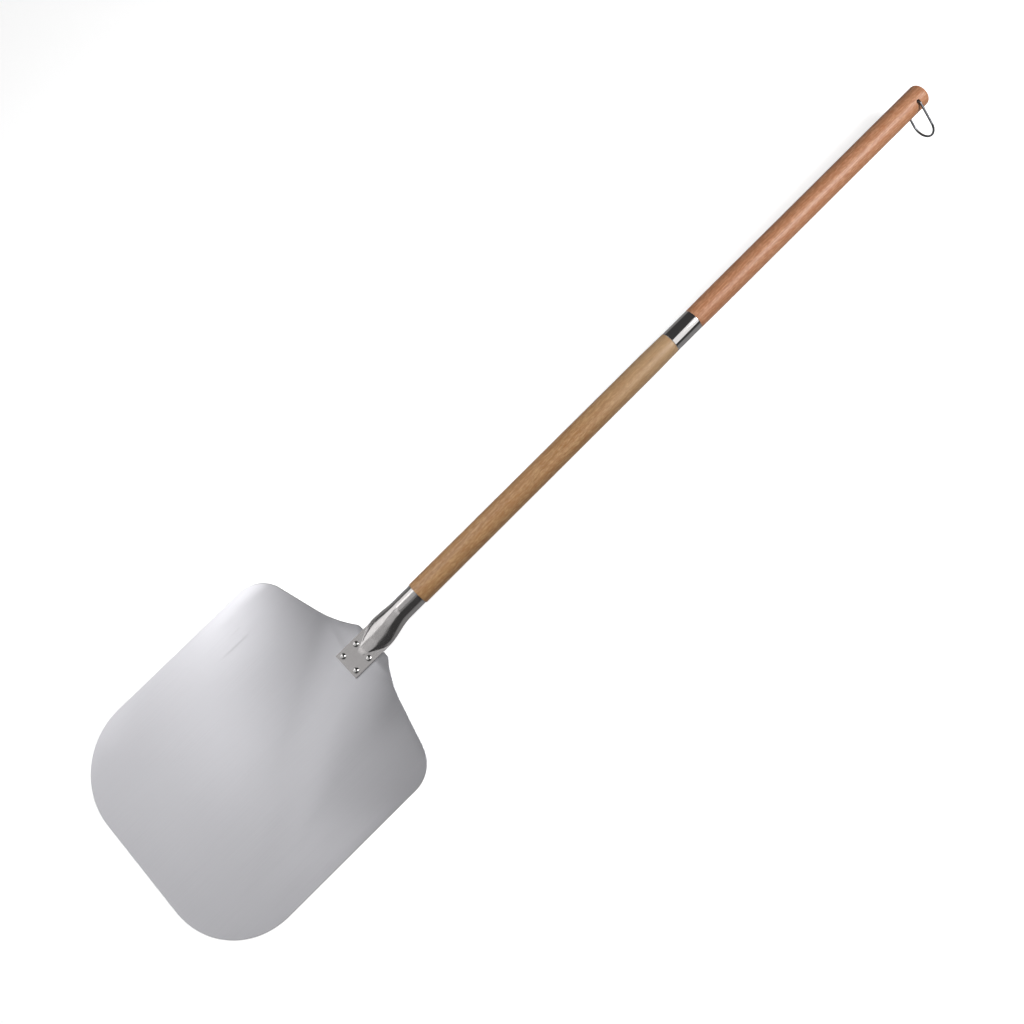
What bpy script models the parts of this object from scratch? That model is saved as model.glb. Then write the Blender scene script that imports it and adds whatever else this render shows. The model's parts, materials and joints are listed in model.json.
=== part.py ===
"""Pizza peel: a sheet aluminium blade, a riveted steel socket and a two-piece wooden handle
that screws together inside a ferrule, with a swinging wire loop at its end.

Units are metres, +Z is up. The origin is the middle of the blade's underside, +X runs along
the handle, and the blade lies on Z = 0. The handle parts are children of an empty whose own
+Z is the handle's axis, its +X points down and its +Y is the world's +Y.
"""
import math

import bmesh
import bpy
from mathutils import Matrix, Vector

MM = 0.001
GAP = 0.3 * MM                       # clearance kept between touching pieces

# Blade
BLADE_WIDTH = 305 * MM
BLADE_LENGTH = 355 * MM
BLADE_THICKNESS = 1.6 * MM
BLADE_EDGE_BEVEL = 0.3 * MM
BLADE_EDGE_ANGLE = math.radians(60)  # corners sharper than this are bevelled
FRONT_RADIUS = 90 * MM
REAR_RADIUS = 39.5 * MM
REAR_CENTRE_X = 279 * MM             # rear corner arc's centre, from the front edge
SHOULDER_SLOPE = math.radians(15.4)
NECK_CURVE_RADIUS = 138 * MM
NECK_HALF_WIDTH = 25.3 * MM
NECK_CORNER_RADIUS = 8 * MM
NECK_CURVE_PART = 0.85               # how much of the curve runs before the corner
HOLE_CLEARANCE_HEIGHT = 8 * MM       # cutters reach this far above the blade

# Handle axis
HANDLE_TILT = math.radians(2)
HANDLE_BASE = Vector((242.5 * MM, 0, 14.8 * MM))
HANDLE_RADIUS = 14 * MM              # at the socket
LOWER_END_RADIUS = 13.6 * MM         # where the taper to the ferrule starts
UPPER_RADIUS = 13.3 * MM
WOOD_EDGE = 0.4 * MM

# Socket, with stations along X measured from the blade's front edge
PLATE_FRONT_X = 312.6 * MM
PLATE_HALF_WIDTH = 17.4 * MM
PLATE_THICKNESS = 2.4 * MM
ARCH_START_X = 333 * MM
ARCH_START_WIDTH = 0.25              # of the plate's width
ARCH_FULL_WIDTH_X = 370 * MM
ARCH_FULL_HEIGHT_X = 404 * MM
UNDERSIDE_DROP_X = 357 * MM
PLATE_SIDE_END_X = 368 * MM
MOUTH_S = 8 * MM                     # socket mouth, along the handle from its base point
SOCKET_RADIUS = 13.3 * MM            # of its round end
SOCKET_WALL = 1 * MM
SOCKET_BORE_END_X = 390 * MM
RING_POINTS = 48

# Rivets
RIVET_ROW_X = (318.8 * MM, 338.3 * MM)
RIVET_HALF_SPACING = 11 * MM
RIVET_HEAD_RADIUS = 3.6 * MM
RIVET_HEAD_HEIGHT = 2.0 * MM
RIVET_SHANK_RADIUS = 1.8 * MM
RIVET_TAIL_RADIUS = 2.9 * MM
RIVET_TAIL_HEIGHT = 0.9 * MM
RIVET_RECESS = 0.1 * MM

# Wood joint, all distances along the handle from its base point
SOCKET_TENON_RADIUS = 12 * MM
SOCKET_TENON_LENGTH = 20 * MM
JOINT_TENON_RADIUS = 11.9 * MM
FERRULE_START = 408.3 * MM
FERRULE_END = 446 * MM
FERRULE_RADIUS = 13 * MM
FERRULE_WALL = 0.8 * MM
FERRULE_EDGE = 0.3 * MM
TAPER_LENGTH = 30 * MM
LOWER_TENON_END = 428 * MM
UPPER_TENON_LENGTH = 16 * MM
THREAD_RADIUS = 5 * MM
THREAD_CLEARANCE = 0.2 * MM
INSERT_RADIUS = 7.5 * MM
INSERT_LENGTH = 24 * MM
BORE_BEYOND_INSERT = 6 * MM
BORE_BEYOND_STUD = 2 * MM
STUD_CHAMFER = 1 * MM
STUD_START = 412 * MM
STUD_END = 474 * MM

# Handle end and hanging loop
HANDLE_END = 814.5 * MM
END_ROUNDING = 4.5 * MM
LOOP_HOLE = 798.5 * MM
LOOP_HOLE_RADIUS = 2.25 * MM
LOOP_HOLE_ANGLE = math.radians(33.5)   # hole's axis from the vertical plane, towards -Y
WIRE_RADIUS = 1.25 * MM
LOOP_ARC_RADIUS = 15.4 * MM
LOOP_LEG_END = 29 * MM               # hole's axis to the centre of the arc
LOOP_SHIFT = 0.4 * MM                # the loop hangs down through the hole by this much
LOOP_BEND_RADIUS = 2.6 * MM
LOOP_TIP_LENGTH = 12 * MM            # turned-in end, from the leg's centre line

# Socket screw
SCREW_S = -3 * MM
SCREW_LENGTH = 11 * MM
SCREW_HEAD_RADIUS = 3 * MM
SCREW_SHANK_RADIUS = 1.5 * MM
SCREW_HEAD_DEPTH = 1.6 * MM
SCREW_POINT_LENGTH = 1.2 * MM
SCREW_RECESS = 0.2 * MM              # head below the tube's surface

MERGE = 0.00001
STEPS = 48                           # sides of a large turned piece
SMALL_STEPS = 24                     # sides of a rivet, a screw or a hole
THREAD_STEPS = 32
FRONT_STEPS = 20                     # segments of each curve of the blade's outline
REAR_STEPS = 12
NECK_STEPS = 10
CORNER_STEPS = 5
DOME_STEPS = 8
BEND_STEPS = 5
LOOP_STEPS = 24
ARCH_SECTIONS = 26                   # socket sections along its arch and along its tube
TUBE_SECTIONS = 3
BORE_SECTIONS = 5


def new_collection(name):
    collection = bpy.data.collections.new(name)
    bpy.context.scene.collection.children.link(collection)
    return collection


def material(name, colour, roughness, metallic):
    mat = bpy.data.materials.new(name)
    mat.use_nodes = True
    shader = mat.node_tree.nodes["Principled BSDF"]
    shader.inputs["Base Color"].default_value = (*colour, 1)
    shader.inputs["Roughness"].default_value = roughness
    shader.inputs["Metallic"].default_value = metallic
    return mat


def add_object(name, data, collection, parent=None, location=(0, 0, 0)):
    obj = bpy.data.objects.new(name, data)
    obj.parent = parent
    obj.location = location
    collection.objects.link(obj)
    return obj


def finish(obj, mat, smooth_angle=math.radians(35)):
    """Gives an object its own material and smooth shading with sharp corners."""
    obj.data.materials.clear()
    obj.data.materials.append(mat)
    obj.data.shade_smooth()
    obj.data.set_sharp_from_angle(angle=smooth_angle)


def make_cutter(obj):
    obj.hide_render = True
    obj.display_type = "WIRE"
    return obj


def cut(obj, cutter):
    boolean = obj.modifiers.new("cut_" + cutter.name, "BOOLEAN")
    boolean.operation = "DIFFERENCE"
    boolean.solver = "EXACT"
    boolean.object = cutter


def turned(name, profile, collection, parent=None, location=(0, 0, 0), closed=False, steps=STEPS):
    """Revolves a (radius, height) profile about the object's Z axis.

    The profile runs from the top of the axis down its outer side to the bottom of the axis,
    or, when closed, once around a ring's section, down its outer side first.
    """
    mesh = bpy.data.meshes.new(name)
    points = [(radius, 0, height) for radius, height in profile]
    edges = [(i, i + 1) for i in range(len(points) - 1)]
    if closed:
        edges.append((len(points) - 1, 0))
    mesh.from_pydata(points, edges, [])
    obj = add_object(name, mesh, collection, parent, location)
    screw = obj.modifiers.new("turned", "SCREW")
    screw.axis = "Z"
    screw.steps = steps
    screw.render_steps = steps
    screw.use_merge_vertices = True
    screw.merge_threshold = MERGE
    screw.use_smooth_shade = True
    return obj


def arc(centre, radius, start, end, steps):
    """Points on an arc in a plane, from one angle to the other, both included."""
    span = [start + (end - start) * i / steps for i in range(steps + 1)]
    return [centre + radius * Vector((math.cos(angle), math.sin(angle))) for angle in span]


def fillet(corner, way_in, way_out, radius, steps):
    """Rounds the corner between two unit directions of travel that turn clockwise."""
    turn = way_in.angle(way_out)
    start = corner - way_in * radius * math.tan(turn / 2)
    centre = start + radius * Vector((way_in.y, -way_in.x))
    first = math.atan2(start.y - centre.y, start.x - centre.x)
    return arc(centre, radius, first, first - turn, steps)


def blade_half_outline():
    """The outline's +Y half, from the front edge's middle to the neck's middle."""
    half = BLADE_WIDTH / 2
    front = arc(Vector((FRONT_RADIUS, half - FRONT_RADIUS)), FRONT_RADIUS, math.pi, math.pi / 2, FRONT_STEPS)
    rear_centre = Vector((REAR_CENTRE_X, half - REAR_RADIUS))
    rear = arc(rear_centre, REAR_RADIUS, math.pi / 2, SHOULDER_SLOPE, REAR_STEPS)
    # The shoulder runs straight, then curves outwards and meets the neck's corner.
    along = Vector((math.sin(SHOULDER_SLOPE), -math.cos(SHOULDER_SLOPE)))
    outward = Vector((math.cos(SHOULDER_SLOPE), math.sin(SHOULDER_SLOPE)))
    neck = Vector((BLADE_LENGTH, NECK_HALF_WIDTH))
    to_neck = neck - rear[-1]
    sagitta = to_neck.dot(outward)
    chord = math.sqrt(NECK_CURVE_RADIUS ** 2 - (NECK_CURVE_RADIUS - sagitta) ** 2)
    curve_centre = rear[-1] + along * (to_neck.dot(along) - chord) + outward * NECK_CURVE_RADIUS
    sweep = math.asin(chord / NECK_CURVE_RADIUS)
    first = SHOULDER_SLOPE + math.pi
    curve = arc(curve_centre, NECK_CURVE_RADIUS, first, first + sweep * NECK_CURVE_PART, NECK_STEPS)
    slope = SHOULDER_SLOPE + sweep
    way_in = Vector((math.sin(slope), -math.cos(slope)))
    corner = fillet(neck, way_in, Vector((0, -1)), NECK_CORNER_RADIUS, CORNER_STEPS)
    return front + rear + curve + corner


def flat_curve(name, outline, thickness):
    """A filled 2D curve, as thick as asked, centred on its plane."""
    curve = bpy.data.curves.new(name, "CURVE")
    curve.dimensions = "2D"
    curve.fill_mode = "BOTH"
    curve.extrude = thickness / 2
    spline = curve.splines.new("POLY")
    spline.points.add(len(outline) - 1)
    for point, (x, y) in zip(spline.points, outline):
        point.co = (x, y, 0, 1)
    spline.use_cyclic_u = True
    return curve


def curve_to_mesh(obj, collection):
    """Replaces a curve object by the welded mesh that it draws."""
    bpy.context.view_layer.update()
    evaluated = obj.evaluated_get(bpy.context.evaluated_depsgraph_get())
    mesh = bpy.data.meshes.new_from_object(evaluated)
    shape = bmesh.new()
    shape.from_mesh(mesh)
    bmesh.ops.remove_doubles(shape, verts=shape.verts, dist=MERGE)
    bmesh.ops.recalc_face_normals(shape, faces=shape.faces)
    shape.to_mesh(mesh)
    shape.free()
    name = obj.name
    matrix = obj.matrix_world.copy()
    bpy.data.objects.remove(obj)
    mesh.name = name
    solid = add_object(name, mesh, collection)
    solid.matrix_world = matrix
    return solid


def rivet_places():
    offset = BLADE_LENGTH / 2
    return [(x - offset, side * RIVET_HALF_SPACING, 0) for x in RIVET_ROW_X for side in (-1, 1)]


def make_blade(parts, cutters, mat):
    half = blade_half_outline()
    shift = BLADE_LENGTH / 2
    upper = [(point.x - shift, point.y) for point in half]
    lower = [(x, -y) for x, y in reversed(upper)]
    curve = flat_curve("blade", upper + lower, BLADE_THICKNESS)
    sheet = add_object("blade", curve, parts, None, (0, 0, BLADE_THICKNESS / 2))
    blade = curve_to_mesh(sheet, parts)
    bevel = blade.modifiers.new("edge", "BEVEL")
    bevel.width = BLADE_EDGE_BEVEL
    bevel.segments = 1
    bevel.limit_method = "ANGLE"
    bevel.angle_limit = BLADE_EDGE_ANGLE
    shank = RIVET_SHANK_RADIUS + GAP
    tail = RIVET_TAIL_RADIUS + GAP
    profile = [(0, HOLE_CLEARANCE_HEIGHT), (shank, HOLE_CLEARANCE_HEIGHT), (shank, RIVET_TAIL_HEIGHT)]
    profile += [(tail, 0), (tail, -BLADE_THICKNESS), (0, -BLADE_THICKNESS)]
    for number, place in enumerate(rivet_places(), 1):
        name = "blade_countersink_%d" % number
        cut(blade, make_cutter(turned(name, profile, cutters, None, place, steps=SMALL_STEPS)))
    finish(blade, mat)
    return blade


def ease(value, start, end):
    """Rises smoothly from 0 at start to 1 at end."""
    t = min(max((value - start) / (end - start), 0), 1)
    return t * t * (3 - 2 * t)


def socket_ring(x, inset):
    """One closed section of the socket, at a distance x behind the blade's front edge.

    It is a flat bar over the blade, a bar with an arch on its middle behind the rivets, and
    a circle around the handle's axis at the mouth. inset makes the wall's inner face.
    """
    base_x = HANDLE_BASE.x + BLADE_LENGTH / 2
    axis_z = HANDLE_BASE.z + (x - base_x) * math.tan(HANDLE_TILT)
    round_part = ease(x, UNDERSIDE_DROP_X, ARCH_FULL_HEIGHT_X)
    arch_part = ease(x, ARCH_START_X, ARCH_FULL_HEIGHT_X)
    narrowing = ease(x, PLATE_SIDE_END_X, ARCH_FULL_HEIGHT_X)
    half_width = PLATE_HALF_WIDTH + (SOCKET_RADIUS - PLATE_HALF_WIDTH) * narrowing - inset
    plate_low = BLADE_THICKNESS + GAP
    plate_high = plate_low + PLATE_THICKNESS
    plate_mid = (plate_low + plate_high) / 2
    low = plate_low + (axis_z - SOCKET_RADIUS - plate_low) * round_part + inset
    high = plate_high + (axis_z + SOCKET_RADIUS - plate_high) * arch_part - inset
    middle = plate_mid + (axis_z - plate_mid) * round_part
    flange = PLATE_THICKNESS / 2 * (1 - round_part)
    widening = ease(x, ARCH_START_X, ARCH_FULL_WIDTH_X)
    arch_width = ARCH_START_WIDTH + (1 - ARCH_START_WIDTH) * widening
    lean = HANDLE_TILT * narrowing
    ring = []
    for i in range(RING_POINTS):
        angle = 2 * math.pi * i / RING_POINTS
        across = math.cos(angle)
        edge = 0 if i % (RING_POINTS // 2) == 0 else 1
        if angle < math.pi:
            bulge = math.sqrt(max(1 - (across / arch_width) ** 2, 0))
            height = flange * edge + (high - middle - flange) * bulge
        else:
            bulge = math.sqrt(max(1 - across ** 2, 0))
            height = -flange * edge - (middle - flange - low) * bulge
        rise = middle - axis_z + height
        along = x - BLADE_LENGTH / 2 - rise * math.sin(lean)
        ring.append((along, half_width * across, axis_z + rise * math.cos(lean)))
    return ring


def mouth_distance():
    """The socket mouth's distance behind the blade's front edge."""
    return HANDLE_BASE.x + BLADE_LENGTH / 2 + MOUTH_S * math.cos(HANDLE_TILT)


def stations(start, end, count):
    """Evenly spaced distances, both ends included."""
    return [start + (end - start) * i / (count - 1) for i in range(count)]


def make_socket(parts, cutters, handle, mat):
    """A tube whose front is pressed flat: lofted outside, mouth rim, then lofted inside."""
    mouth = mouth_distance()
    outside = [PLATE_FRONT_X] + stations(ARCH_START_X, ARCH_FULL_HEIGHT_X, ARCH_SECTIONS)
    outside += stations(ARCH_FULL_HEIGHT_X, mouth, TUBE_SECTIONS)[1:]
    inside = stations(mouth, ARCH_FULL_HEIGHT_X, TUBE_SECTIONS)
    inside += stations(ARCH_FULL_HEIGHT_X, SOCKET_BORE_END_X, BORE_SECTIONS)[1:]
    rings = [socket_ring(x, 0) for x in outside] + [socket_ring(x, SOCKET_WALL) for x in inside]
    shape = bmesh.new()
    rows = [[shape.verts.new(point) for point in ring] for ring in rings]
    for row, following in zip(rows, rows[1:]):
        for i in range(RING_POINTS):
            j = (i + 1) % RING_POINTS
            shape.faces.new((row[i], row[j], following[j], following[i]))
    shape.faces.new(rows[0])
    shape.faces.new(rows[-1])
    bmesh.ops.recalc_face_normals(shape, faces=shape.faces)
    mesh = bpy.data.meshes.new("socket")
    shape.to_mesh(mesh)
    shape.free()
    socket = add_object("socket", mesh, parts)
    hole = RIVET_SHANK_RADIUS + GAP
    profile = [(0, HOLE_CLEARANCE_HEIGHT), (hole, HOLE_CLEARANCE_HEIGHT), (hole, 0), (0, 0)]
    for number, place in enumerate(rivet_places(), 1):
        name = "socket_rivet_hole_%d" % number
        cut(socket, make_cutter(turned(name, profile, cutters, None, place, steps=SMALL_STEPS)))
    cut(socket, screw_cutter("socket_screw_hole", cutters, handle))
    finish(socket, mat)
    return socket


def make_rivets(parts, mat):
    """Domed heads on the socket, shanks through both sheets and tails flush in the blade."""
    seat = BLADE_THICKNESS + GAP + PLATE_THICKNESS + GAP
    dome_radius = (RIVET_HEAD_RADIUS ** 2 + RIVET_HEAD_HEIGHT ** 2) / (2 * RIVET_HEAD_HEIGHT)
    dome_centre = seat + RIVET_HEAD_HEIGHT - dome_radius
    widest = math.asin(RIVET_HEAD_RADIUS / dome_radius)
    profile = []
    for i in range(DOME_STEPS + 1):
        angle = widest * i / DOME_STEPS
        profile.append((dome_radius * math.sin(angle), dome_centre + dome_radius * math.cos(angle)))
    profile += [(RIVET_SHANK_RADIUS, seat), (RIVET_SHANK_RADIUS, RIVET_TAIL_HEIGHT + RIVET_RECESS)]
    profile += [(RIVET_TAIL_RADIUS, RIVET_RECESS), (0, RIVET_RECESS)]
    for number, place in enumerate(rivet_places(), 1):
        rivet = turned("rivet_%d" % number, profile, parts, None, place, steps=SMALL_STEPS)
        finish(rivet, mat)


def screw_matrix():
    """Places the screw's head under the socket with its point upwards, across the handle."""
    outward = SOCKET_RADIUS - SCREW_RECESS
    turn = Matrix.Rotation(math.radians(90), 4, "Y")
    return Matrix.Translation((outward, 0, SCREW_S)) @ turn


def screw_profile(clearance):
    """The countersunk screw from its head's rim down to its point."""
    head = SCREW_HEAD_RADIUS + clearance
    shank = SCREW_SHANK_RADIUS + clearance
    end = SCREW_LENGTH + clearance
    return [(head, 0), (shank, -SCREW_HEAD_DEPTH), (shank, -end), (0, -end - SCREW_POINT_LENGTH)]


def screw_cutter(name, cutters, handle):
    """The screw's hole, which runs out through the head's side."""
    top = 2 * SCREW_HEAD_DEPTH
    profile = [(0, top), (SCREW_HEAD_RADIUS + GAP, top)] + screw_profile(GAP)
    cutter = make_cutter(turned(name, profile, cutters, handle, steps=SMALL_STEPS))
    cutter.matrix_local = screw_matrix()
    return cutter


def make_socket_screw(parts, handle, mat):
    profile = [(0, 0)] + screw_profile(0)
    screw = turned("socket_screw", profile, parts, handle, steps=SMALL_STEPS)
    screw.matrix_local = screw_matrix()
    finish(screw, mat)
    return screw


def make_lower_handle(parts, cutters, handle, mat):
    """A turned stick with a tenon in the socket, a tenon in the ferrule and a bored end."""
    bore = INSERT_RADIUS + GAP
    bore_end = LOWER_TENON_END - INSERT_LENGTH - BORE_BEYOND_INSERT
    step = FERRULE_START - GAP
    shoulder = MOUTH_S + GAP
    start = MOUTH_S - SOCKET_TENON_LENGTH
    profile = [(0, bore_end), (bore, bore_end), (bore, LOWER_TENON_END)]
    profile += [(JOINT_TENON_RADIUS, LOWER_TENON_END), (JOINT_TENON_RADIUS, step)]
    profile += [(FERRULE_RADIUS - WOOD_EDGE, step), (FERRULE_RADIUS, step - WOOD_EDGE)]
    profile += [(LOWER_END_RADIUS, FERRULE_START - TAPER_LENGTH), (HANDLE_RADIUS, shoulder + WOOD_EDGE)]
    profile += [(HANDLE_RADIUS - WOOD_EDGE, shoulder), (SOCKET_TENON_RADIUS, shoulder)]
    profile += [(SOCKET_TENON_RADIUS, start), (0, start)]
    lower = turned("lower_handle", profile, parts, handle)
    cut(lower, screw_cutter("wood_screw_hole", cutters, handle))
    finish(lower, mat)
    return lower


def make_ferrule(parts, handle, mat):
    """A thin sleeve over the joint, with its rims slightly rounded."""
    inner = FERRULE_RADIUS - FERRULE_WALL
    rim = FERRULE_RADIUS - FERRULE_EDGE
    profile = [(rim, FERRULE_END), (FERRULE_RADIUS, FERRULE_END - FERRULE_EDGE)]
    profile += [(FERRULE_RADIUS, FERRULE_START + FERRULE_EDGE), (rim, FERRULE_START)]
    profile += [(inner, FERRULE_START), (inner, FERRULE_END)]
    ferrule = turned("ferrule", profile, parts, handle, closed=True)
    finish(ferrule, mat)
    return ferrule


def make_threaded_insert(parts, handle, mat):
    """The nut in the lower handle's end that the stud screws into."""
    end = LOWER_TENON_END - GAP
    start = end - INSERT_LENGTH
    inner = THREAD_RADIUS + THREAD_CLEARANCE
    profile = [(INSERT_RADIUS, end), (INSERT_RADIUS, start), (inner, start), (inner, end)]
    insert = turned("threaded_insert", profile, parts, handle, closed=True, steps=THREAD_STEPS)
    finish(insert, mat)
    return insert


def make_threaded_stud(parts, handle, mat):
    point = THREAD_RADIUS - STUD_CHAMFER
    profile = [(0, STUD_END), (point, STUD_END), (THREAD_RADIUS, STUD_END - STUD_CHAMFER)]
    profile += [(THREAD_RADIUS, STUD_START + STUD_CHAMFER), (point, STUD_START), (0, STUD_START)]
    stud = turned("threaded_stud", profile, parts, handle, steps=THREAD_STEPS)
    finish(stud, mat)
    return stud


def make_upper_handle(parts, cutters, handle, mat):
    """A turned stick with a tenon in the ferrule, a bored end and a hole for the loop."""
    shoulder = FERRULE_END + GAP
    tenon_end = shoulder - UPPER_TENON_LENGTH
    bore = THREAD_RADIUS + GAP
    bore_end = STUD_END + BORE_BEYOND_STUD
    flat_end = UPPER_RADIUS - END_ROUNDING
    profile = [(0, HANDLE_END)]
    for i in range(DOME_STEPS + 1):
        angle = math.pi / 2 * (1 - i / DOME_STEPS)
        radius = flat_end + END_ROUNDING * math.cos(angle)
        profile.append((radius, HANDLE_END - END_ROUNDING + END_ROUNDING * math.sin(angle)))
    profile += [(UPPER_RADIUS, shoulder + TAPER_LENGTH), (FERRULE_RADIUS, shoulder + WOOD_EDGE)]
    profile += [(FERRULE_RADIUS - WOOD_EDGE, shoulder), (JOINT_TENON_RADIUS, shoulder)]
    profile += [(JOINT_TENON_RADIUS, tenon_end), (bore, tenon_end), (bore, bore_end), (0, bore_end)]
    upper = turned("upper_handle", profile, parts, handle)
    reach = 2 * UPPER_RADIUS
    drill = [(0, reach), (LOOP_HOLE_RADIUS, reach), (LOOP_HOLE_RADIUS, -reach), (0, -reach)]
    cutter = make_cutter(turned("loop_hole", drill, cutters, handle, steps=SMALL_STEPS))
    hole_axis, _ = loop_directions()
    turn = Vector((0, 0, 1)).rotation_difference(hole_axis).to_matrix().to_4x4()
    cutter.matrix_local = Matrix.Translation((0, 0, LOOP_HOLE)) @ turn
    cut(upper, cutter)
    finish(upper, mat)
    return upper


def loop_directions():
    """The hole's axis and the way that the hanging loop points, in the handle's own axes.

    The loop turns about the hole's axis only, so on the tilted handle it hangs a little
    towards the blade.
    """
    sine = math.sin(LOOP_HOLE_ANGLE)
    cosine = math.cos(LOOP_HOLE_ANGLE)
    hole_axis = Vector((-cosine, -sine, 0))
    lean = math.atan(math.tan(HANDLE_TILT) / sine)
    hang = Vector((sine * math.cos(lean), -cosine * math.cos(lean), -math.sin(lean)))
    return hole_axis, hang


def loop_path():
    """The wire's centre line as (along the hole's axis, along the hang) pairs."""
    bend = LOOP_BEND_RADIUS
    top = LOOP_ARC_RADIUS - LOOP_SHIFT
    bottom = -LOOP_ARC_RADIUS - LOOP_SHIFT
    path = [Vector((top - LOOP_TIP_LENGTH, 0))]
    path += arc(Vector((top - bend, bend)), bend, -math.pi / 2, 0, BEND_STEPS)
    path += arc(Vector((-LOOP_SHIFT, LOOP_LEG_END)), LOOP_ARC_RADIUS, 0, math.pi, LOOP_STEPS)
    path += arc(Vector((bottom + bend, bend)), bend, math.pi, 1.5 * math.pi, BEND_STEPS)
    path.append(Vector((bottom + LOOP_TIP_LENGTH, 0)))
    return path


def make_hanging_loop(parts, handle, mat):
    hole_axis, hang = loop_directions()
    curve = bpy.data.curves.new("hanging_loop", "CURVE")
    curve.dimensions = "3D"
    curve.bevel_depth = WIRE_RADIUS
    curve.bevel_resolution = 4
    curve.use_fill_caps = True
    path = [hole_axis * across + hang * down for across, down in loop_path()]
    spline = curve.splines.new("POLY")
    spline.points.add(len(path) - 1)
    for point, place in zip(spline.points, path):
        point.co = (*place, 1)
    wire = add_object("hanging_loop", curve, parts, handle, (0, 0, LOOP_HOLE))
    wire.data.materials.append(mat)
    return wire


def main():
    for obj in list(bpy.data.objects):
        bpy.data.objects.remove(obj, do_unlink=True)
    parts = new_collection("pizza_peel")
    cutters = new_collection("cutters")
    handle = add_object("handle_axis", None, parts, None, HANDLE_BASE)
    handle.rotation_euler = (0, math.pi / 2 - HANDLE_TILT, 0)
    make_blade(parts, cutters, material("blade_aluminium", (0.62, 0.62, 0.65), 0.38, 1))
    polished = material("polished_steel", (0.6, 0.59, 0.58), 0.18, 1)
    make_socket(parts, cutters, handle, polished)
    make_rivets(parts, material("rivet_steel", (0.64, 0.63, 0.62), 0.15, 1))
    make_socket_screw(parts, handle, material("screw_steel", (0.55, 0.54, 0.53), 0.3, 1))
    make_lower_handle(parts, cutters, handle, material("lower_wood", (0.5, 0.32, 0.16), 0.5, 0))
    make_ferrule(parts, handle, material("ferrule_steel", (0.6, 0.59, 0.58), 0.12, 1))
    make_threaded_insert(parts, handle, material("insert_brass", (0.6, 0.45, 0.2), 0.35, 1))
    make_threaded_stud(parts, handle, material("stud_steel", (0.5, 0.5, 0.5), 0.35, 1))
    make_upper_handle(parts, cutters, handle, material("upper_wood", (0.48, 0.25, 0.14), 0.45, 0))
    make_hanging_loop(parts, handle, material("wire_steel", (0.4, 0.4, 0.4), 0.25, 1))


main()
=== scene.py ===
"""Looks for the pizza peel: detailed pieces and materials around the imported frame, in a plain
white studio. Metres, +X along the handle, +Z up, blade on Z = 0."""
import json
import math

import bmesh
import bpy
from mathutils import Matrix, Vector


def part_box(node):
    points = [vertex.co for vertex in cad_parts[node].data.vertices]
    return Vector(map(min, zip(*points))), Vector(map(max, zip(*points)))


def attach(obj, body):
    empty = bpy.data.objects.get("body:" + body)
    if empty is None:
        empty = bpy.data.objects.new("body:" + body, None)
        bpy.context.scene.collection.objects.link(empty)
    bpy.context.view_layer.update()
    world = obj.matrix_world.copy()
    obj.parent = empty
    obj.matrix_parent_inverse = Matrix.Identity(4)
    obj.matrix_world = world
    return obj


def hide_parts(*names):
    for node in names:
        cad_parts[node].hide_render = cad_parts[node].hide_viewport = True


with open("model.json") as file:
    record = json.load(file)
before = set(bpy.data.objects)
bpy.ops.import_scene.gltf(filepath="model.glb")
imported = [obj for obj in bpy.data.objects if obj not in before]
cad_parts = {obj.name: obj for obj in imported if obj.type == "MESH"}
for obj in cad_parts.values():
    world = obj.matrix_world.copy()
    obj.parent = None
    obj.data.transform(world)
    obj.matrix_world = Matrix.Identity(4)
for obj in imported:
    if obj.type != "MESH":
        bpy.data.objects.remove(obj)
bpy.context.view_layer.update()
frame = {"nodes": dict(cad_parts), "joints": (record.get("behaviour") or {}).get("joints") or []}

MM = 0.001

# Shape details that repeat the CAD model's driving dimensions
FRONT_RADIUS = 90 * MM
REAR_RADIUS = 39.5 * MM
REAR_CENTRE_X = 279 * MM
SHOULDER_SLOPE = math.radians(15.4)
NECK_CURVE_RADIUS = 138 * MM
NECK_HALF_WIDTH = 25.3 * MM
NECK_CORNER_RADIUS = 8 * MM
NECK_CURVE_PART = 0.85
GAP = 0.3 * MM
PLATE_FRONT_X = 312.6 * MM
PLATE_HALF_WIDTH = 17.4 * MM
PLATE_THICKNESS = 2.4 * MM
ARCH_START_X = 333 * MM
ARCH_START_WIDTH = 0.25
ARCH_FULL_WIDTH_X = 370 * MM
ARCH_FULL_HEIGHT_X = 404 * MM
UNDERSIDE_DROP_X = 357 * MM
PLATE_SIDE_END_X = 368 * MM
MOUTH_S = 8 * MM
SOCKET_RADIUS = 13.3 * MM
SOCKET_WALL = 1 * MM
RIVET_SHANK_RADIUS = 1.8 * MM
RIVET_TAIL_RADIUS = 2.9 * MM
RIVET_TAIL_HEIGHT = 0.9 * MM
LOWER_END_RADIUS = 13.6 * MM
SOCKET_TENON_RADIUS = 12 * MM
JOINT_TENON_RADIUS = 11.9 * MM
FERRULE_WALL = 0.8 * MM
TAPER_LENGTH = 30 * MM
END_ROUNDING = 4.5 * MM
THREAD_PITCH = 2 * MM
LOOP_HOLE_RADIUS = 2.25 * MM
WIRE_RADIUS = 1.25 * MM
LOOP_ARC_RADIUS = 15.4 * MM
LOOP_LEG_END = 29 * MM
LOOP_SHIFT = 0.4 * MM
LOOP_BEND_RADIUS = 2.6 * MM
LOOP_TIP_LENGTH = 12 * MM

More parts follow.
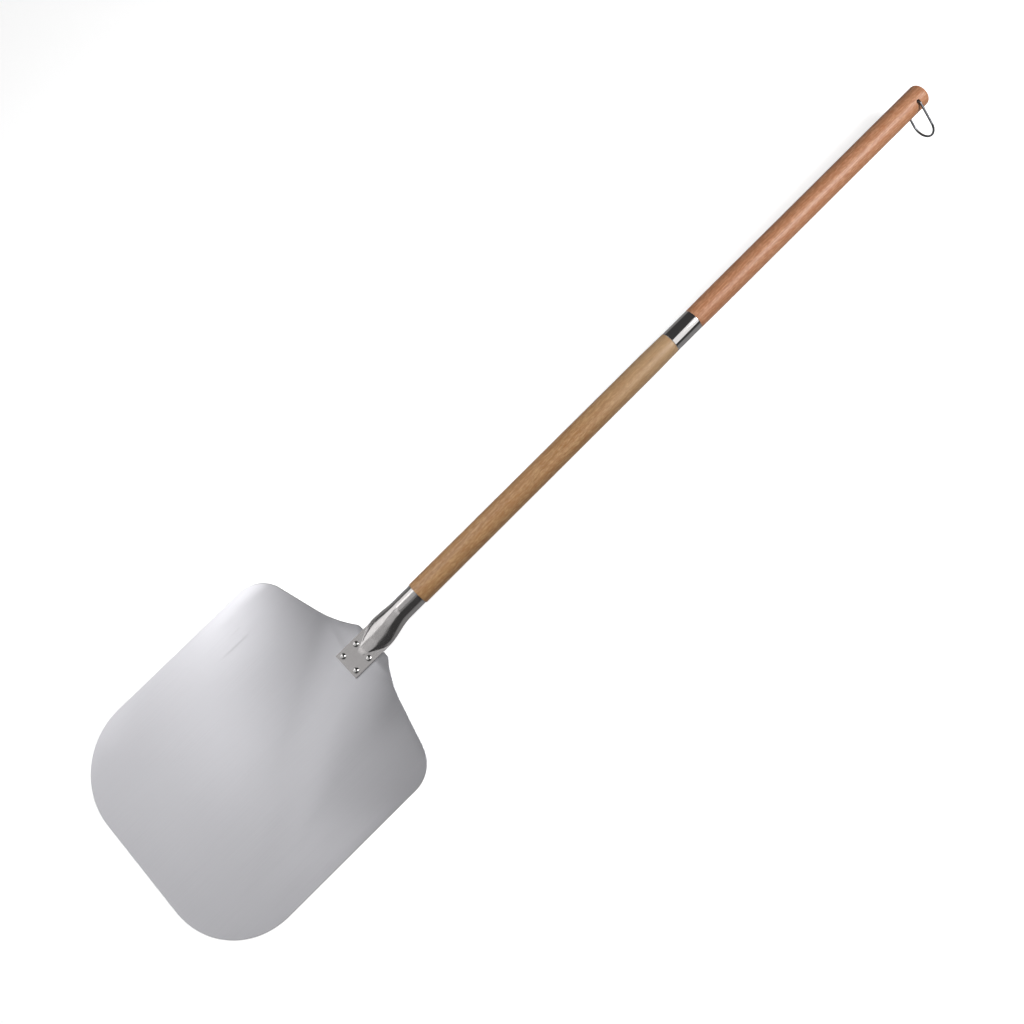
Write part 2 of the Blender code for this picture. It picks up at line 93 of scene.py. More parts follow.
# Small details that only the looks have
BLADE_EDGE_ROUNDING = 0.45 * MM
RIVET_HOLE_GAP = GAP / 3
RIVET_RIM = 0.25 * MM
RIVET_DOME_POWER = 1.15
RIVET_TAIL_CHAMFER = (0.2 * MM, 0.1 * MM)  # inwards and upwards
SOCKET_ARCH_LEAD = 0.7 * MM
SOCKET_BORE_END_X = 390 * MM
SOCKET_EDGE_PART = 0.12  # the part of the plate's section that its rounded edge takes
FIT_GAP = 0.1 * MM
THREAD_GAP = 0.15 * MM
WOOD_ROUNDING = 0.7 * MM
TENON_ROUNDING = 0.6 * MM
SOCKET_TENON_ROUNDING = 0.5 * MM
BORE_ROUNDING = 0.3 * MM
TAPER_ROUNDING = 8 * MM
LOOP_HOLE_CHAMFER = 0.35 * MM
FERRULE_LIP = 5 * MM
FERRULE_INNER_ROUNDING = 0.2 * MM
FERRULE_OUTER_ROUNDING = 0.35 * MM
INSERT_BORE_DEPTH = 6 * MM
STUD_BORE_DEPTH = 2 * MM
STUD_CHAMFER = 1 * MM
STUD_THREAD_DEPTH = 0.7 * MM
STUD_THREAD_TURN = (0.25, 0.5, 0.65, 0.9)  # crest end, root start, root end, next crest
INSERT_CHAMFER = 0.4 * MM
INSERT_RIB_PITCH = 2.4 * MM
INSERT_RIB = (1.2 * MM, 1.6 * MM, 2.1 * MM)  # crest end, valley start, valley end
INSERT_RIB_DEPTH = 0.6 * MM
SCREW_HEAD_CHAMFER = 0.15 * MM
SCREW_HEAD_DEPTH = 1.6 * MM
SCREW_THREAD_START = 2.2 * MM
SCREW_THREAD_PITCH = 1.1 * MM
SCREW_TIP_LENGTHS = (3.2 * MM, 1.4 * MM)  # from the tip to the thread's end and to the point
SCREW_ROOT_PART = 0.78
SCREW_RECESS = (1.25, 0.7 * MM, 2 * MM)  # length in head radii, width, depth
SCREW_RECESS_TURN = 20  # degrees
LOOP_TIP_BEND_LEAD = 3 * MM

# Fineness of the curved shapes
ROUNDING_STEPS = 5
STICK_STEPS = 128
FERRULE_STEPS = 160
SMALL_STEPS = 64
HOLE_STEPS = 48
FRONT_CORNER_STEPS = 48
REAR_CORNER_STEPS = 28
NECK_CURVE_STEPS = 24
NECK_CORNER_STEPS = 10
RIVET_DOME_STEPS = 18
HANDLE_END_STEPS = 12
LOOP_BEND_STEPS = 10
LOOP_ARC_STEPS = 64
SOCKET_POINTS = 160
SOCKET_PLATE_SECTIONS = 6
SOCKET_TUBE_SECTIONS = 110
SOCKET_MOUTH_SECTIONS = 12
SOCKET_BORE_SECTIONS = 8

# Metal tints, and each stick's timber: its colours, its growth rings' centre, its variation and the
# strength of a painted sheen before the ferrule
SOCKET_TINT = (0.60, 0.58, 0.575)
RIVET_TINT = (0.7, 0.69, 0.68)
FERRULE_TINT = (0.68, 0.66, 0.65)
BRASS_TINT = (0.72, 0.52, 0.25)
STUD_TINT = (0.6, 0.6, 0.61)
SCREW_TINT = (0.62, 0.62, 0.63)
SHEET_DARK = (0.735, 0.73, 0.765)
SHEET_PALE = (0.77, 0.765, 0.80)
SHEET_BLOTCH = (0.79, 0.79, 0.82)
WIRE_DARK = (0.15, 0.155, 0.165)
WIRE_PALE = (0.25, 0.255, 0.27)
LOWER_TIMBER = dict(pale=(0.60, 0.36, 0.17), mid=(0.51, 0.285, 0.125), dark=(0.34, 0.155, 0.055),
                    pith=(0.05, 0.03), seed=1.7, painted_sheen=0.5)
UPPER_TIMBER = dict(pale=(0.73, 0.37, 0.21), mid=(0.63, 0.295, 0.152), dark=(0.40, 0.16, 0.065),
                    pith=(-0.04, 0.05), seed=8.3)
RINGS_PER_METRE = 400.0
RING_SWAY = 6 * MM
# Painted sheen: the stretch before the ferrule over which the lower stick is painted paler and
# whiter
PAINTED_SHEEN_FROM = 150 * MM  # before the ferrule
PAINTED_SHEEN_TO = 20 * MM

# The studio: each panel's name, place, target, size and radiance
REFLECTED_PANELS = (
    ("front_panel", (-1.35, 0.7, 1.7), (-1.35, 0.7, 0), (1.2, 1.0), 0.595),
    ("front_low_panel", (-1.35, -0.25, 1.7), (-1.35, -0.25, 0), (1.2, 0.9), 0.54),
    ("middle_panel", (-0.48, 0.75, 1.7), (-0.48, 0.75, 0), (0.5, 0.9), 0.92),
    ("middle_low_panel", (-0.52, -0.25, 1.7), (-0.52, -0.25, 0), (0.42, 1.1), 0.7),
    ("rear_panel", (0.0, 0.4, 1.7), (0.0, 0.4, 0), (0.44, 1.2), 0.52),
    ("low_panel", (0.0, -0.5, 1.7), (0.0, -0.5, 0), (0.5, 0.6), 0.22),
    ("far_panel", (-3.0, 0.65, 1.5), (0, 0.65, 0.3), (2.2, 1.8), 0.45),
    ("left_wall", (-1.25, 1.6, 1.1), (-1.25, 0, 0.6), (3.1, 1.3), 1.28),
    ("left_softbox", (0.0, 1.1, 1.45), (0.1, 0, 0), (0.5, 0.4), 1.65),
    ("right_softbox", (1.05, -0.75, 1.0), (0.7, 0, 0), (1.2, 1.2), 1.12),
)
KEY_LIGHT = ("key", (1.5, -0.7, 1.15), (0.85, 0, 0), (0.6, 0.6), 14.8)
FILL_LIGHT = ("left_fill", (0.15, 0.3, 0.6), (0.28, 0, 0), (0.4, 0.4), 4.9)
FLOOR_CENTRE = (0.4, 0, -0.05 * MM)
FLOOR_REACH = 8
FLOOR_GLOW = 0.7
WHITE = (1, 1, 1, 1)
BELOW_HORIZON, ABOVE_HORIZON = -0.15, 0.05
BELOW_LEVEL, ABOVE_LEVEL = 0.3, 0.06

# The photograph's camera
CAMERA_PLACE = (0.3186, -0.2685, 1.1059)
CAMERA_TARGET = (0.39063, -0.00518, 0)
CAMERA_ROLL = math.radians(-29.5044)
CAMERA_SENSOR = 36
CAMERA_LENS = 35.156
CAMERA_CLIP_START = 0.01

# Where the frame says the parts are
JOINTS = {joint["name"]: joint for joint in frame["joints"]}
HANDLE_BASE = Vector(JOINTS["handle_unscrew"]["pos_m"])
HANDLE_AXIS = Vector(JOINTS["handle_unscrew"]["axis"]).normalized()
HANDLE_TILT = math.asin(HANDLE_AXIS.z)
LOOP_PIVOT = Vector(JOINTS["loop_swing"]["pos_m"])
LOOP_AXIS = Vector(JOINTS["loop_swing"]["axis"]).normalized()
BLADE_LOW, BLADE_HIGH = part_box("blade")
BLADE_LENGTH = BLADE_HIGH.x - BLADE_LOW.x
BLADE_WIDTH = BLADE_HIGH.y - BLADE_LOW.y
BLADE_THICKNESS = BLADE_HIGH.z - BLADE_LOW.z


def handle_matrix():
    """The handle's own axes: +Z along it, +X down, +Y the world's +Y, from its base point."""
    side = Vector((0, 1, 0))
    down = side.cross(HANDLE_AXIS)
    turn = Matrix((down, side, HANDLE_AXIS)).transposed().to_4x4()
    return Matrix.Translation(HANDLE_BASE) @ turn


HANDLE = handle_matrix()


def span(node):
    """A CAD node's start and end along the handle, and its largest radius about it."""
    inverse = HANDLE.inverted()
    places = [inverse @ vertex.co for vertex in frame["nodes"][node].data.vertices]
    radius = max(math.hypot(place.x, place.y) for place in places)
    return min(place.z for place in places), max(place.z for place in places), radius


FERRULE_START, FERRULE_END, FERRULE_RADIUS = span("ferrule")
LOWER_START, LOWER_END, HANDLE_RADIUS = span("lower_handle")
UPPER_START, HANDLE_END, UPPER_RADIUS = span("upper_handle")
STUD_START, STUD_END, THREAD_RADIUS = span("threaded_stud")
INSERT_START, INSERT_END, INSERT_RADIUS = span("threaded_insert")
MOUTH_X = HANDLE_BASE.x + BLADE_LENGTH / 2 + MOUTH_S * math.cos(HANDLE_TILT)


# ---------------------------------------------------------------- mesh helpers

def link(name, data, matrix=None):
    """A new object in the scene."""
    obj = bpy.data.objects.new(name, data)
    bpy.context.scene.collection.objects.link(obj)
    if matrix is not None:
        obj.matrix_world = matrix
    return obj


def mesh_object(name, shape, matrix=None, sharp=35):
    """Turns a bmesh into an object, smooth but for its sharp corners."""
    bmesh.ops.recalc_face_normals(shape, faces=shape.faces)
    mesh = bpy.data.meshes.new(name)
    shape.to_mesh(mesh)
    shape.free()
    mesh.shade_smooth()
    mesh.set_sharp_from_angle(angle=math.radians(sharp))
    return link(name, mesh, matrix)


def piece(obj, body, mat, slot, *nodes):
    """A finished visible piece: its material, body and the CAD nodes it stands for; the slot
    argument is not used.
    """
    obj.data.materials.clear()
    obj.data.materials.append(mat)
    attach(obj, body)
    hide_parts(*nodes)
    return obj


def arc(centre, radius, start, end, steps):
    """Points on a flat arc, from one angle to the other."""
    angles = [start + (end - start) * i / steps for i in range(steps + 1)]
    return [centre + radius * Vector((math.cos(angle), math.sin(angle))) for angle in angles]


def rounded(corners, steps=ROUNDING_STEPS):
    """A profile whose corners, given as (radius, height, rounding), are rounded off."""
    points = []
    for i, (r, z, rounding) in enumerate(corners):
        here = Vector((r, z))
        if rounding == 0 or i in (0, len(corners) - 1):
            points.append(here)
            continue
        before = (Vector(corners[i - 1][:2]) - here).normalized()
        after = (Vector(corners[i + 1][:2]) - here).normalized()
        for k in range(steps + 1):
            t = k / steps
            points.append(here + before * rounding * (1 - t) ** 2 + after * rounding * t ** 2)
    return points


def lathe(name, profile, matrix=None, steps=STICK_STEPS, closed=False, sharp=35):
    """Revolves a (radius, height) profile, run down its outer side, about the Z axis."""
    shape = bmesh.new()
    rows = []
    for i in range(steps):
        angle = 2 * math.pi * i / steps
        rows.append([(r * math.cos(angle), r * math.sin(angle), z) for r, z in profile])
    grid = []
    for k, (r, z) in enumerate(profile):
        if r < 1e-7:
            grid.append([shape.verts.new((0, 0, z))] * steps)
        else:
            grid.append([shape.verts.new(rows[i][k]) for i in range(steps)])
    pairs = list(zip(grid, grid[1:]))
    if closed:
        pairs.append((grid[-1], grid[0]))
    for upper, lower in pairs:
        for i in range(steps):
            j = (i + 1) % steps
            corners = []
            for vert in (upper[i], upper[j], lower[j], lower[i]):
                if vert not in corners:
                    corners.append(vert)
            if len(corners) > 2:
                shape.faces.new(corners)
    return mesh_object(name, shape, matrix, sharp)


def apply_modifiers(obj):
    """Bakes an object's modifiers into its mesh."""
    bpy.context.view_layer.update()
    evaluated = obj.evaluated_get(bpy.context.evaluated_depsgraph_get())
    mesh = bpy.data.meshes.new_from_object(evaluated)
    obj.modifiers.clear()
    obj.data = mesh
    return obj


def cut(obj, cutters):
    """Takes the cutters away from an object, and removes them."""
    for cutter in cutters:
        boolean = obj.modifiers.new("cut", "BOOLEAN")
        boolean.solver = "EXACT"
        boolean.object = cutter
    apply_modifiers(obj)
    for cutter in cutters:
        bpy.data.objects.remove(cutter)
    return obj


def shade(obj, sharp=35):
    """Shades an object smooth but for edges sharper than an angle in degrees."""
    obj.data.shade_smooth()
    obj.data.set_sharp_from_angle(angle=math.radians(sharp))
    return obj


# ---------------------------------------------------------------- material helpers

class Nodes:
    """A short way to write a node material."""

    def __init__(self, name):
        self.mat = bpy.data.materials.new(name)
        self.mat.use_nodes = True
        self.tree = self.mat.node_tree
        self.shader = self.tree.nodes["Principled BSDF"]
        self.coords = self.add("ShaderNodeTexCoord").outputs["Object"]

    def add(self, kind, **settings):
        node = self.tree.nodes.new(kind)
        for key, value in settings.items():
            setattr(node, key, value)
        return node

    def wire(self, source, target):
        self.tree.links.new(source, target)

    def put(self, node, name, value):
        if isinstance(value, bpy.types.NodeSocket):
            self.wire(value, node.inputs[name])
        else:
            node.inputs[name].default_value = value

    def stretched(self, scale, turn=(0, 0, 0), offset=(0, 0, 0)):
        node = self.add("ShaderNodeMapping")
        self.wire(self.coords, node.inputs["Vector"])
        node.inputs["Scale"].default_value = scale
        node.inputs["Rotation"].default_value = turn
        node.inputs["Location"].default_value = offset
        return node.outputs["Vector"]

    def noise(self, vector, scale=1.0, detail=2.0, roughness=0.5, distortion=0.0):
        node = self.add("ShaderNodeTexNoise")
        self.wire(vector, node.inputs["Vector"])
        node.inputs["Scale"].default_value = scale
        node.inputs["Detail"].default_value = detail
        node.inputs["Roughness"].default_value = roughness
        node.inputs["Distortion"].default_value = distortion
        return node.outputs["Fac"]

    def math(self, operation, a, b=0.0, clamp=False):
        node = self.add("ShaderNodeMath", operation=operation, use_clamp=clamp)
        self.put(node, 0, a)
        self.put(node, 1, b)
        return node.outputs[0]

    def remap(self, value, low, high, to_low=0.0, to_high=1.0):
        node = self.add("ShaderNodeMapRange")
        self.wire(value, node.inputs["Value"])
        node.inputs["From Min"].default_value = low
        node.inputs["From Max"].default_value = high
        node.inputs["To Min"].default_value = to_low
        node.inputs["To Max"].default_value = to_high
        return node.outputs["Result"]

    def mix(self, factor, a, b):
        node = self.add("ShaderNodeMix", data_type="RGBA")
        self.put(node, 0, factor)
        self.put(node, 6, a if isinstance(a, bpy.types.NodeSocket) else (*a, 1))
        self.put(node, 7, b if isinstance(b, bpy.types.NodeSocket) else (*b, 1))
        return node.outputs[2]

    def bump(self, height, distance, strength=1.0, normal=None):
        node = self.add("ShaderNodeBump")
        node.inputs["Distance"].default_value = distance
        node.inputs["Strength"].default_value = strength
        self.wire(height, node.inputs["Height"])
        if normal is not None:
            self.wire(normal, node.inputs["Normal"])
        return node.outputs["Normal"]

    def finish(self, **inputs):
        for name, value in inputs.items():
            self.put(self.shader, name.replace("_", " "), value)
        return self.mat


def aluminium_sheet():
    """Satin rolled sheet: faint lines along the rolling direction, soft blotches, scratches."""
    n = Nodes("blade_aluminium")
    lines = n.noise(n.stretched((9, 1300, 40)), detail=3, roughness=0.7)
    blotch = n.noise(n.stretched((9, 13, 9)), detail=3)
    fine = n.noise(n.stretched((1500, 1500, 1500)), detail=1)
    scratch_a = n.noise(n.stretched((14, 420, 14), (0, 0, math.radians(31))), detail=0)
    scratch_b = n.noise(n.stretched((11, 380, 11), (0, 0, math.radians(-24)), (3, 1, 0)), detail=0)
    marks = n.math("ADD", n.remap(scratch_a, 0.735, 0.76), n.remap(scratch_b, 0.74, 0.765))
    colour = n.mix(n.remap(lines, 0.3, 0.7), SHEET_DARK, SHEET_PALE)
    colour = n.mix(n.remap(blotch, 0.3, 0.75, 0.0, 0.25), colour, SHEET_BLOTCH)
    rough = n.remap(lines, 0.25, 0.75, 0.29, 0.315)
    rough = n.math("ADD", rough, n.remap(blotch, 0.3, 0.7, -0.01, 0.015))
    rough = n.math("ADD", rough, n.math("MULTIPLY", marks, 0.08))
    height = n.math("ADD", lines, n.math("MULTIPLY", fine, 0.4))
    height = n.math("SUBTRACT", height, n.math("MULTIPLY", marks, 0.8))
    normal = n.bump(height, 0.000004, 0.13)
    return n.finish(Base_Color=colour, Roughness=rough, Metallic=1.0, Normal=normal)


def polished_steel(name, tint, rough_low, rough_high, along):
    """Polished stainless steel with hairlines that run along one axis of the piece (0, 1, 2)."""
    n = Nodes(name)
    scale = [900.0, 900.0, 900.0]
    scale[along] = 12.0
    hair = n.noise(n.stretched(tuple(scale)), detail=3, roughness=0.6)
    smear = n.noise(n.stretched((60, 60, 60)), detail=3, distortion=0.6)
    dark = tuple(0.9 * c for c in tint)
    colour = n.mix(n.remap(hair, 0.3, 0.7), dark, tint)
    rough = n.remap(smear, 0.35, 0.7, rough_low, rough_high)
    rough = n.math("ADD", rough, n.remap(hair, 0.3, 0.7, 0, 0.03))
    normal = n.bump(n.math("ADD", hair, smear), 0.000008, 0.3)
    return n.finish(Base_Color=colour, Roughness=rough, Metallic=1.0, Normal=normal)


def wood(name, pale, mid, dark, pith, seed, painted_sheen=0.0):
    """Straight-grained varnished wood: growth rings about a distant pith, fibres and pores.

    The piece's Z axis runs along the grain, and the last argument sets how strongly a painted sheen
    pales and whitens its last part before the ferrule.
    """
    n = Nodes(name)
    sway = n.noise(n.stretched((14, 14, 5), offset=(seed, 0, 0)), detail=2)
    sway_b = n.noise(n.stretched((14, 14, 4), offset=(0, seed, 3)), detail=2)
    split = n.add("ShaderNodeSeparateXYZ")
    n.wire(n.coords, split.inputs[0])
    x = n.math("SUBTRACT", split.outputs["X"], pith[0])
    x = n.math("ADD", x, n.remap(sway, 0, 1, -RING_SWAY, RING_SWAY))
    y = n.math("SUBTRACT", split.outputs["Y"], pith[1])
    y = n.math("ADD", y, n.remap(sway_b, 0, 1, -RING_SWAY, RING_SWAY))
    distance = n.math("SQRT", n.math("ADD", n.math("MULTIPLY", x, x), n.math("MULTIPLY", y, y)))
    ring = n.math("FRACT", n.math("MULTIPLY", distance, RINGS_PER_METRE))
    late = n.math("MULTIPLY", n.remap(ring, 0.45, 0.95), n.remap(ring, 1.0, 0.95))
    fibre = n.noise(n.stretched((1100, 1100, 16), offset=(0, 0, seed)), detail=4, roughness=0.7)
    streak = n.noise(n.stretched((230, 230, 4), offset=(seed, 0, seed)), detail=3, roughness=0.6)
    patch = n.noise(n.stretched((50, 50, 9), offset=(seed, seed, 0)), detail=2)
    pore_noise = n.noise(n.stretched((2100, 2100, 55), offset=(0, seed, 0)), detail=1)
    pores = n.remap(pore_noise, 0.66, 0.74)
    colour = n.mix(n.remap(streak, 0.3, 0.7), pale, mid)
    colour = n.mix(n.math("MULTIPLY", late, 0.55), colour, dark)
    colour = n.mix(n.remap(fibre, 0.35, 0.8, 0.0, 0.4), colour, dark)
    colour = n.mix(n.remap(patch, 0.35, 0.75, 0.0, 0.3), colour, pale)
    mottle = n.noise(n.stretched((560, 560, 150), offset=(0, 0, seed)), detail=3, roughness=0.65)
    red = (0.86 * mid[0], 0.68 * mid[1], 0.56 * mid[2])
    light = tuple(min(1.08 * c, 0.8) for c in pale)
    colour = n.mix(n.remap(mottle, 0.42, 0.68, 0.0, 0.85), colour, red)
    colour = n.mix(n.remap(mottle, 0.48, 0.3, 0.0, 0.8), colour, light)
    # Painted sheen: the colour turns paler and whiter over the last part before the ferrule
    end = n.remap(split.outputs["Z"], FERRULE_START - PAINTED_SHEEN_FROM, FERRULE_START - PAINTED_SHEEN_TO,
                  0.0, painted_sheen)
    painted_sheen_colour = tuple(min(c * f, 0.85) for c, f in zip(pale, (1.15, 1.35, 1.7)))
    colour = n.mix(end, colour, painted_sheen_colour)
    colour = n.mix(n.math("MULTIPLY", pores, 0.45), colour, tuple(0.45 * c for c in dark))
    rough = n.math("ADD", n.remap(fibre, 0.2, 0.8, 0.4, 0.5), n.math("MULTIPLY", pores, 0.2))
    height = n.math("SUBTRACT", fibre, n.math("MULTIPLY", pores, 1.2))
    height = n.math("ADD", height, n.math("MULTIPLY", late, 0.6))
    normal = n.bump(height, 0.00003, 0.5)
    mat = n.finish(Base_Color=colour, Roughness=rough, Normal=normal, Specular_IOR_Level=0.4)
    n.shader.inputs["Coat Weight"].default_value = 0.2
    n.shader.inputs["Coat Roughness"].default_value = 0.4
    return mat


def drawn_wire():
    """Dull grey wire with cloudy drawing marks."""
    n = Nodes("wire_steel")
    lines = n.noise(n.stretched((260, 260, 260)), detail=3, distortion=1.0)
    spots = n.noise(n.stretched((900, 900, 900)), detail=2)
    colour = n.mix(n.remap(lines, 0.35, 0.7), WIRE_DARK, WIRE_PALE)
    rough = n.remap(spots, 0.3, 0.7, 0.3, 0.42)
    normal = n.bump(lines, 0.00002, 0.3)
    return n.finish(Base_Color=colour, Roughness=rough, Metallic=1.0, Normal=normal)


def plated(name, tint):
    """Zinc or brass with fine tool marks across the piece's axis."""
    n = Nodes(name)
    tool = n.noise(n.stretched((90, 90, 2600)), detail=2)
    patch = n.noise(n.stretched((400, 400, 400)), detail=3)
    colour = n.mix(n.remap(patch, 0.35, 0.7), tuple(0.8 * c for c in tint), tint)
    rough = n.remap(tool, 0.3, 0.7, 0.24, 0.4)
    normal = n.bump(tool, 0.00002, 0.4)
    return n.finish(Base_Color=colour, Roughness=rough, Metallic=1.0, Normal=normal)


# ---------------------------------------------------------------- blade

def fillet(corner, way_in, way_out, radius, steps):
    """Points that round off a corner between the way into it and the way out of it."""
    turn = way_in.angle(way_out)
    start = corner - way_in * radius * math.tan(turn / 2)
    centre = start + radius * Vector((way_in.y, -way_in.x))
    first = math.atan2(start.y - centre.y, start.x - centre.x)
    return arc(centre, radius, first, first - turn, steps)


def blade_half_outline():
    """The outline's +Y half, from the front edge's middle to the neck's middle."""
    half = BLADE_WIDTH / 2
    front = arc(Vector((FRONT_RADIUS, half - FRONT_RADIUS)), FRONT_RADIUS, math.pi, math.pi / 2,
                FRONT_CORNER_STEPS)
    rear_centre = Vector((REAR_CENTRE_X, half - REAR_RADIUS))
    rear = arc(rear_centre, REAR_RADIUS, math.pi / 2, SHOULDER_SLOPE, REAR_CORNER_STEPS)
    along = Vector((math.sin(SHOULDER_SLOPE), -math.cos(SHOULDER_SLOPE)))
    outward = Vector((math.cos(SHOULDER_SLOPE), math.sin(SHOULDER_SLOPE)))
    neck = Vector((BLADE_LENGTH, NECK_HALF_WIDTH))
    to_neck = neck - rear[-1]
    sagitta = to_neck.dot(outward)
    chord = math.sqrt(NECK_CURVE_RADIUS ** 2 - (NECK_CURVE_RADIUS - sagitta) ** 2)
    curve_centre = rear[-1] + along * (to_neck.dot(along) - chord) + outward * NECK_CURVE_RADIUS
    sweep = math.asin(chord / NECK_CURVE_RADIUS)
    first = SHOULDER_SLOPE + math.pi
    curve = arc(curve_centre, NECK_CURVE_RADIUS, first, first + sweep * NECK_CURVE_PART,
                NECK_CURVE_STEPS)
    slope = SHOULDER_SLOPE + sweep
    way_in = Vector((math.sin(slope), -math.cos(slope)))
    corner = fillet(neck, way_in, Vector((0, -1)), NECK_CORNER_RADIUS, NECK_CORNER_STEPS)
    return front + rear + curve + corner


def rivet_places():
    """Each rivet's place on the blade, from its CAD node."""
    places = []
    for number in range(1, 5):
        low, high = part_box("rivet_%d" % number)
        places.append(((low.x + high.x) / 2, (low.y + high.y) / 2))
    return places


def make_blade(mat):
    """A sheet with rounded edges, countersunk from below for the rivets' tails."""
    shift = BLADE_LENGTH / 2
    upper = [(point.x - shift, point.y) for point in blade_half_outline()]
    outline = upper + [(x, -y) for x, y in reversed(upper)]
    shape = bmesh.new()
    verts = [shape.verts.new((x, y, 0)) for x, y in outline]
    face = shape.faces.new(verts)
    raised = bmesh.ops.extrude_face_region(shape, geom=[face])["geom"]
    lifted = [item for item in raised if isinstance(item, bmesh.types.BMVert)]
    bmesh.ops.translate(shape, verts=lifted, vec=(0, 0, BLADE_THICKNESS))
    rim = [e for e in shape.edges if abs(e.verts[0].co.z - e.verts[1].co.z) < 1e-6]
    bmesh.ops.bevel(shape, geom=rim, offset=BLADE_EDGE_ROUNDING, segments=3, profile=0.5,
                    affect="EDGES")
    blade = mesh_object("blade_sheet", shape)
    shank = RIVET_SHANK_RADIUS + RIVET_HOLE_GAP
    tail = RIVET_TAIL_RADIUS + RIVET_HOLE_GAP
    above = 3 * MM
    profile = [(0, above), (shank, above), (shank, RIVET_TAIL_HEIGHT), (tail, 0), (tail, -MM),
               (0, -MM)]
    cutters = [lathe("cutter", profile, Matrix.Translation((x, y, 0)), HOLE_STEPS)
               for x, y in rivet_places()]
    cut(blade, cutters)
    shade(blade)
    return piece(blade, "peel", mat, "blade_aluminium", "blade")


# ---------------------------------------------------------------- socket and rivets

def ease(value, start, end):
    """0 before start, 1 after end, and smooth between."""
    t = min(max((value - start) / (end - start), 0), 1)
    return t * t * (3 - 2 * t)


def socket_ring(x, inset, points):
    """One closed section of the socket at a distance x behind the blade's front edge."""
    base_x = HANDLE_BASE.x + BLADE_LENGTH / 2
    axis_z = HANDLE_BASE.z + (x - base_x) * math.tan(HANDLE_TILT)
    round_part = ease(x, UNDERSIDE_DROP_X, ARCH_FULL_HEIGHT_X)
    arch_part = ease(x, ARCH_START_X, ARCH_FULL_HEIGHT_X)
    narrowing = ease(x, PLATE_SIDE_END_X, ARCH_FULL_HEIGHT_X)
    half_width = PLATE_HALF_WIDTH + (SOCKET_RADIUS - PLATE_HALF_WIDTH) * narrowing - inset
    plate_low = BLADE_THICKNESS + GAP
    plate_high = plate_low + PLATE_THICKNESS
    plate_mid = (plate_low + plate_high) / 2
    low = plate_low + (axis_z - SOCKET_RADIUS - plate_low) * round_part + inset
    high = plate_high + (axis_z + SOCKET_RADIUS - plate_high) * arch_part - inset
    middle = plate_mid + (axis_z - plate_mid) * round_part
    flange = PLATE_THICKNESS / 2 * (1 - round_part)
    widening = ease(x, ARCH_START_X, ARCH_FULL_WIDTH_X)
    arch_width = ARCH_START_WIDTH + (1 - ARCH_START_WIDTH) * widening
    lean = HANDLE_TILT * narrowing
    ring = []
    for i in range(points):
        angle = 2 * math.pi * i / points
        across = math.cos(angle)
        edge = min(1, abs(math.sin(angle)) / SOCKET_EDGE_PART)
        edge = math.sqrt(1 - (1 - edge) ** 2)
        if angle < math.pi:
            bulge = math.sqrt(max(1 - (across / arch_width) ** 2, 0))
            height = flange * edge + (high - middle - flange) * bulge
        else:
            bulge = math.sqrt(max(1 - across ** 2, 0))
            height = -flange * edge - (middle - flange - low) * bulge
        rise = middle - axis_z + height
        along = x - BLADE_LENGTH / 2 - rise * math.sin(lean)
        ring.append((along, half_width * across, axis_z + rise * math.cos(lean)))
    return ring


def stations(start, end, count):
    """Evenly spaced distances, both ends included."""
    return [start + (end - start) * i / (count - 1) for i in range(count)]


def make_socket(mat):
    """One pressed sheet: the riveted plate, which rises and closes into the handle's tube."""
    outside = stations(PLATE_FRONT_X, ARCH_START_X, SOCKET_PLATE_SECTIONS)
    outside += stations(ARCH_START_X + SOCKET_ARCH_LEAD, MOUTH_X, SOCKET_TUBE_SECTIONS)
    inside = stations(MOUTH_X, ARCH_FULL_HEIGHT_X, SOCKET_MOUTH_SECTIONS)
    inside += stations(ARCH_FULL_HEIGHT_X - 2 * MM, SOCKET_BORE_END_X, SOCKET_BORE_SECTIONS)
    rings = [socket_ring(x, 0, SOCKET_POINTS) for x in outside]
    rings += [socket_ring(x, SOCKET_WALL, SOCKET_POINTS) for x in inside]
    shape = bmesh.new()
    rows = [[shape.verts.new(point) for point in ring] for ring in rings]
    for row, following in zip(rows, rows[1:]):
        for i in range(SOCKET_POINTS):
            j = (i + 1) % SOCKET_POINTS
            shape.faces.new((row[i], row[j], following[j], following[i]))
    shape.faces.new(rows[0])
    shape.faces.new(rows[-1])
    socket = mesh_object("socket_shell", shape, None, 50)
    return piece(socket, "peel", mat, "polished_steel", "socket")


def make_rivets(mat):
    """Domed heads seated on the plate, with shanks and tails flush in the blade."""
    seat = BLADE_THICKNESS + GAP + PLATE_THICKNESS
    for number, (x, y) in enumerate(rivet_places(), 1):
        low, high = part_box("rivet_%d" % number)
        radius = (high.x - low.x) / 2
        dome = high.z - seat - RIVET_RIM
        inset, rise = RIVET_TAIL_CHAMFER
        profile = [(0, high.z)]
        for k in range(1, RIVET_DOME_STEPS + 1):
            angle = math.pi / 2 * k / RIVET_DOME_STEPS
            profile.append((radius * math.sin(angle),
                            seat + RIVET_RIM + dome * math.cos(angle) ** RIVET_DOME_POWER))
        profile += [(radius, seat), (RIVET_SHANK_RADIUS, seat)]
        profile += [(RIVET_SHANK_RADIUS, RIVET_TAIL_HEIGHT), (RIVET_TAIL_RADIUS, low.z + rise)]
        profile += [(RIVET_TAIL_RADIUS - inset, low.z), (0, low.z)]
        rivet = lathe("rivet_%d_domed" % number, profile, Matrix.Translation((x, y, 0)),
                      SMALL_STEPS, sharp=50)
        piece(rivet, "peel", mat, "rivet_steel", "rivet_%d" % number)


# ---------------------------------------------------------------- handle

